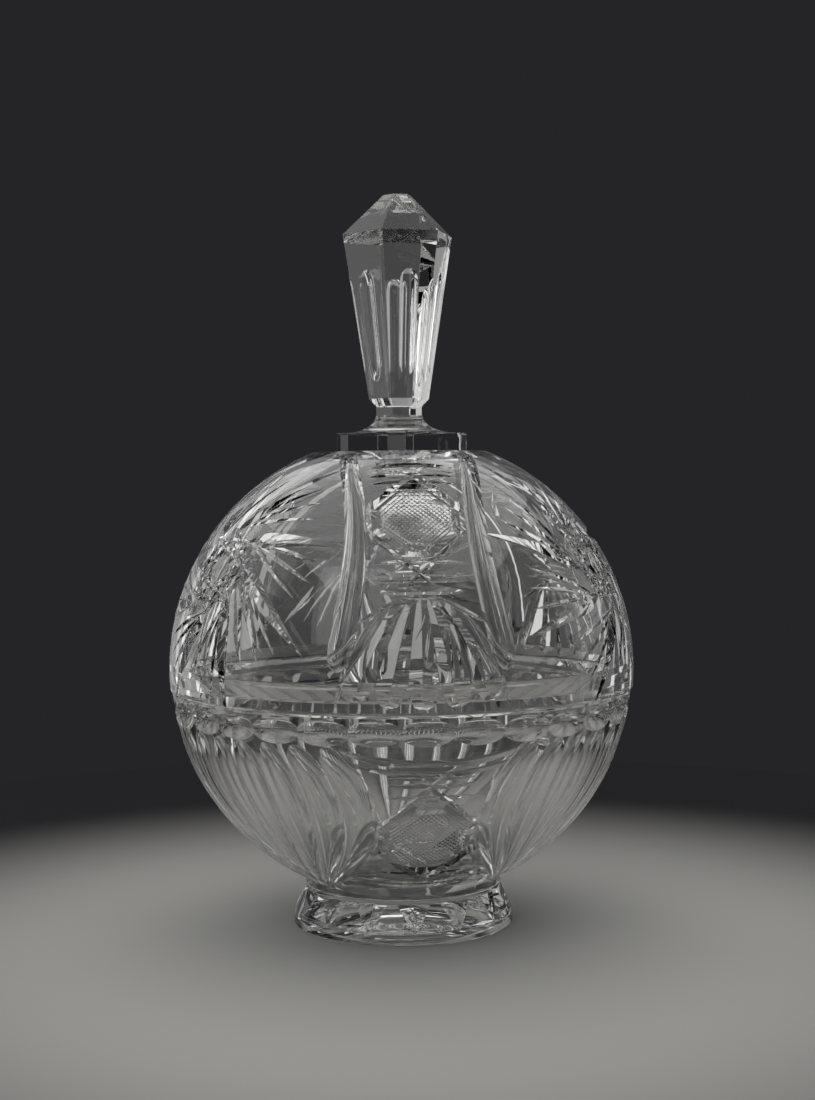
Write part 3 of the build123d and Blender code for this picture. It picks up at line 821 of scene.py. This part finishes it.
def finial_head():
    """The six-sided neck, tapered head and crown, with a long hollow in each face of the head.

    A hollow has round ends over 0.14 of its length, and is a fifth narrower at its foot.
    """
    heights = [neck_low - 0.5 * MM, neck_top, head_low, girdle, finial_high.z]
    radii = (NECK_RADIUS, NECK_RADIUS, SHOULDER_RADIUS, GIRDLE_RADIUS, TABLE_RADIUS)
    head = prism([six_sides(radius) for radius in radii], heights)
    face_low = np.array([0, -SHOULDER_RADIUS * cos(pi / 6), head_low])
    face_top = np.array([0, -GIRDLE_RADIUS * cos(pi / 6), girdle])
    ahead = unit(face_top - face_low)
    facing = np.array([0, -ahead[2], ahead[1]])
    hollow_from, hollow_length, hollow_half_width, hollow_depth = 7 * MM, 34 * MM, 3.1 * MM, 1.25 * MM
    share = steps(31)
    path = face_low + ahead * (hollow_from + hollow_length * share[:, None])
    swell = round_end(np.abs(share - 0.5), 0.36, 0.14) * (0.8 + 0.2 * share)
    half_width = hollow_half_width * swell + HAIR
    hollow = groove(path, np.broadcast_to(facing, path.shape), half_width, hollow_depth * swell ** 2, False)
    hollows = all_round([turned(hollow, FINIAL_TURN)], 6, POLISHED_END)
    return worked(put_mesh("head", head, POLISHED_END), hollows, "DIFFERENCE")


def add(tree, kind, settings=(), links=()):
    """Adds one node, sets its properties and inputs by name, and links its inputs from other outputs."""
    node = tree.nodes.new(kind)
    for name, value in dict(settings).items():
        if hasattr(node, name):
            setattr(node, name, value)
        else:
            node.inputs[name].default_value = value
    for name, source in dict(links).items():
        tree.links.new(source, node.inputs[name])
    return node


def empty_tree(holder):
    """The node tree of a new material or world, emptied."""
    holder.use_nodes = True
    holder.node_tree.nodes.clear()
    return holder.node_tree


def lead_crystal(name, look, hatched):
    """Lead crystal, blown, wheel cut and acid polished: clear and bright, with faint waves in its surface.

    Cut edges are a little soft from the polish. The fine crosshatching is left ground, and looks frosted.
    Light passes through to the floor slightly dimmed, because clear glass throws only a light shadow.
    """
    material = bpy.data.materials.new(name)
    tree = empty_tree(material)
    places = add(tree, "ShaderNodeTexCoord")
    wave = add(tree, "ShaderNodeTexNoise", {"Scale": 1 / look.ripple, "Detail": 2.0, "Roughness": 0.4},
               {"Vector": places.outputs["Object"]})
    edge = add(tree, "ShaderNodeBevel", {"samples": 4, "Radius": look.edge})
    bump = add(tree, "ShaderNodeBump", {"Strength": 0.4, "Distance": 0.06 * MM},
               {"Height": wave.outputs["Fac"], "Normal": edge.outputs["Normal"]})
    glass = add(tree, "ShaderNodeBsdfPrincipled",
                {"Base Color": (*look.tint, 1), "Roughness": look.haze, "IOR": look.ior,
                 "Transmission Weight": 1.0},
                {"Normal": bump.outputs["Normal"]})
    if hatched:
        ground = add(tree, "ShaderNodeAttribute", {"attribute_name": "ground"})
        crisp = add(tree, "ShaderNodeMapRange", {"To Min": look.edge, "To Max": 0.0},
                    {"Value": ground.outputs["Fac"]})
        frost = add(tree, "ShaderNodeMapRange", {"To Min": look.haze, "To Max": look.ground_haze},
                    {"Value": ground.outputs["Fac"]})
        tree.links.new(crisp.outputs["Result"], edge.inputs["Radius"])
        tree.links.new(frost.outputs["Result"], glass.inputs["Roughness"])
    clear = add(tree, "ShaderNodeBsdfTransparent", {"Color": (*look.shadow, 1)})
    path = add(tree, "ShaderNodeLightPath")
    mix = add(tree, "ShaderNodeMixShader", {}, {"Fac": path.outputs["Is Shadow Ray"]})
    tree.links.new(glass.outputs["BSDF"], mix.inputs[1])
    tree.links.new(clear.outputs["BSDF"], mix.inputs[2])
    add(tree, "ShaderNodeOutputMaterial", {}, {"Surface": mix.outputs["Shader"]})
    return material


class CRYSTAL_OT_cover(Operator):
    """Grinds the domed cover and its finial, which are one glass"""

    bl_idname = "crystal.cover"
    bl_label = "Cover and finial"

    def execute(self, context):
        form, cuts = context.scene.crystal_form, context.scene.crystal_cuts
        radius = form.lid_radius
        turn = cuts.lid_turn
        tools = medallion(turn, cuts.lid_medallion, form, radius, 1.0)
        tools += fan(turn, form, radius)
        tools += [border(turn, side, form, radius) for side in (-1, 1)]
        tools += star(turn + pi / cuts.panels, cuts, form, radius)
        hatch = crosshatch(turn, cuts.lid_medallion, form, radius, LID_FIELD, cuts.hatch_pitch)
        wheels = all_round(tools, cuts.panels) + all_round(hatch, cuts.panels, GROUND)
        dome = worked(put_mesh("dome", lid_blank(form)), wheels, "DIFFERENCE")
        finial = worked(finial_base(form), [finial_head()], "UNION")
        cover = worked(dome, [finial], "UNION")
        look = context.scene.crystal_look
        put_piece("lid", cover, (POLISHED_MAIN, GROUND), "covered_lid", look)
        put_piece("finial", cover, (POLISHED_END,), "covered_lid", look)
        return {"FINISHED"}


class CRYSTAL_OT_footed_bowl(Operator):
    """Grinds the bowl and its foot, which are one glass"""

    bl_idname = "crystal.footed_bowl"
    bl_label = "Footed bowl"

    def execute(self, context):
        form, cuts = context.scene.crystal_form, context.scene.crystal_cuts
        radius = form.bowl_radius
        turn = cuts.bowl_turn
        tools = medallion(turn, cuts.bowl_medallion, form, radius, BOWL_SCALE)
        tools += valance(turn, cuts.bowl_medallion, form, radius)
        tools += shell(turn + pi / cuts.panels, cuts.shell_flutes, form, radius)
        hatch = crosshatch(turn, cuts.bowl_medallion, form, radius, BOWL_FIELD, cuts.hatch_pitch)
        wheels = all_round(tools, cuts.panels) + all_round(hatch, cuts.panels, GROUND)
        print_height = bowl_high.z - PRINT_DROP - form.ball_height
        print_cut = thumbprint(np.arcsin(print_height / radius), cuts.thumbprints, form, radius)
        wheels += all_round([print_cut], cuts.thumbprints, sets=2)
        ball = worked(put_mesh("ball", bowl_blank(form)), wheels, "DIFFERENCE")
        bowl = worked(ball, [foot_glass(form, cuts.foot_facets)], "UNION")
        look = context.scene.crystal_look
        put_piece("bowl", bowl, (POLISHED_MAIN, GROUND), "footed_bowl", look)
        put_piece("foot", bowl, (POLISHED_END,), "footed_bowl", look)
        return {"FINISHED"}


def softbox(name, place, width, height, glow):
    """A soft area light at a place, turned towards the bowl, which the camera doesn't see directly.

    Its glow is how bright its face looks, where 1 is white: its power is pi times its glow and its area.
    """
    lamp = bpy.data.lights.new(name, "AREA")
    lamp.shape = "RECTANGLE"
    lamp.size = width
    lamp.size_y = height
    lamp.energy = pi * glow * width * height
    light = put_object(name, lamp)
    light.location = place
    light.rotation_mode = "QUATERNION"
    light.rotation_quaternion = (Vector(place) - Vector(LIGHT_AIM)).to_track_quat("Z", "Y")
    light.visible_camera = False


def painted_light_pool_paint(stage):
    """Matt paint, rolled on: plain, without shine, with a pool of light painted into its colour: pale round
    the bowl and falling softly into painted dark.
    """
    material = bpy.data.materials.new("painted_light_pool_paint")
    tree = empty_tree(material)
    places = add(tree, "ShaderNodeTexCoord")
    away = add(tree, "ShaderNodeVectorMath", {"operation": "DISTANCE"}, {"Vector": places.outputs["Object"]})
    away.inputs[1].default_value = (0, -stage.painted_light_pool_forward, 0)
    fall = add(tree, "ShaderNodeMapRange",
               {"interpolation_type": "SMOOTHSTEP",
                "From Min": stage.painted_light_pool_inner, "From Max": stage.painted_light_pool_outer},
               {"Value": away.outputs["Value"]})
    # Painted pool of light: the floor's colour goes from pale near the bowl to painted dark further out.
    tone = add(tree, "ShaderNodeValToRGB", {}, {"Fac": fall.outputs["Result"]})
    tone.color_ramp.elements[0].color = (*stage.floor, 1)
    tone.color_ramp.elements[1].color = (*stage.floor_painted_dark, 1)
    coat = add(tree, "ShaderNodeBsdfPrincipled", {"Roughness": 0.9, "Specular IOR Level": 0.0},
               {"Base Color": tone.outputs["Color"]})
    add(tree, "ShaderNodeOutputMaterial", {}, {"Surface": coat.outputs["BSDF"]})
    return material


def put_floor(stage):
    """A round floor, as one face of 128 corners, a hair under the foot."""
    around = 2 * pi * np.arange(128) / 128
    ring = np.column_stack([np.cos(around), np.sin(around), 0 * around]) * stage.floor_radius
    mesh = bpy.data.meshes.new("floor")
    mesh.from_pydata(ring.tolist(), [], [list(range(len(ring)))])
    mesh.materials.append(painted_light_pool_paint(stage))
    floor = put_object("floor", mesh)
    floor.location.z = -HAIR


def put_backdrop(stage):
    """A plain charcoal surround, which shows as it is written."""
    world = bpy.data.worlds.new("charcoal")
    tree = empty_tree(world)
    surround = add(tree, "ShaderNodeBackground", {"Color": (*stage.backdrop, 1), "Strength": 1.0})
    add(tree, "ShaderNodeOutputWorld", {}, {"Surface": surround.outputs["Background"]})
    bpy.context.scene.world = world


def put_camera(stage):
    """A camera at the photograph's viewing angle, turned so that the bowl's axis falls on its column."""
    data = bpy.data.cameras.new("camera")
    data.sensor_width = SENSOR_WIDTH
    data.lens = SENSOR_WIDTH * stage.focal_pixels / PHOTO_HEIGHT
    camera = put_object("camera", data)
    turn = stage.camera_turn
    camera.location = (stage.distance * sin(turn), -stage.distance * cos(turn), stage.eye_height)
    yaw = atan((PHOTO_WIDTH / 2 - stage.axis_pixel) / stage.focal_pixels)
    camera.rotation_euler = (pi / 2 - stage.camera_dip, stage.camera_roll, turn - yaw)
    bpy.context.scene.camera = camera


class CRYSTAL_OT_stage(Operator):
    """Sets out the pale floor, the charcoal backdrop, the soft lights and the camera"""

    bl_idname = "crystal.stage"
    bl_label = "Stage"

    def execute(self, context):
        stage = context.scene.crystal_stage
        put_floor(stage)
        put_backdrop(stage)
        for light in LIGHTS:
            softbox(*light)
        put_camera(stage)
        context.scene.view_settings.view_transform = "Standard"
        # Light crosses many walls of glass before it leaves.
        cycles = context.scene.cycles
        cycles.max_bounces = 24
        cycles.transmission_bounces = 24
        cycles.glossy_bounces = 8
        cycles.transparent_max_bounces = 24
        cycles.caustics_reflective = False
        cycles.caustics_refractive = False
        return {"FINISHED"}


SETTINGS = {
    "crystal_form": CrystalForm,
    "crystal_cuts": CrystalCuts,
    "crystal_look": CrystalLook,
    "crystal_stage": CrystalStage,
}
OPERATORS = (CRYSTAL_OT_cover, CRYSTAL_OT_footed_bowl, CRYSTAL_OT_stage)


class CRYSTAL_PT_sidebar(Panel):
    """Lists the steps and the sizes"""

    bl_label = "Cut crystal"
    bl_idname = "CRYSTAL_PT_sidebar"
    bl_space_type = "VIEW_3D"
    bl_region_type = "UI"
    bl_category = "Crystal"

    def draw(self, context):
        for operator in OPERATORS:
            self.layout.operator(operator.bl_idname)
        for setting in SETTINGS:
            group = getattr(context.scene, setting)
            box = self.layout.box()
            for name in group.bl_rna.properties.keys():
                if name not in ("rna_type", "name"):
                    box.prop(group, name)


CLASSES = (*SETTINGS.values(), *OPERATORS, CRYSTAL_PT_sidebar)


def register():
    """Registers the classes and puts the settings on the scene."""
    for item in CLASSES:
        bpy.utils.register_class(item)
    for name, group in SETTINGS.items():
        setattr(bpy.types.Scene, name, PointerProperty(type=group))


def unregister():
    """Takes the settings off the scene and unregisters the classes."""
    for name in SETTINGS:
        delattr(bpy.types.Scene, name)
    for item in reversed(CLASSES):
        bpy.utils.unregister_class(item)


def main():
    """Builds every piece and the stage."""
    register()
    bpy.ops.crystal.cover()
    bpy.ops.crystal.footed_bowl()
    bpy.ops.crystal.stage()


if __name__ == "__main__":
    main()
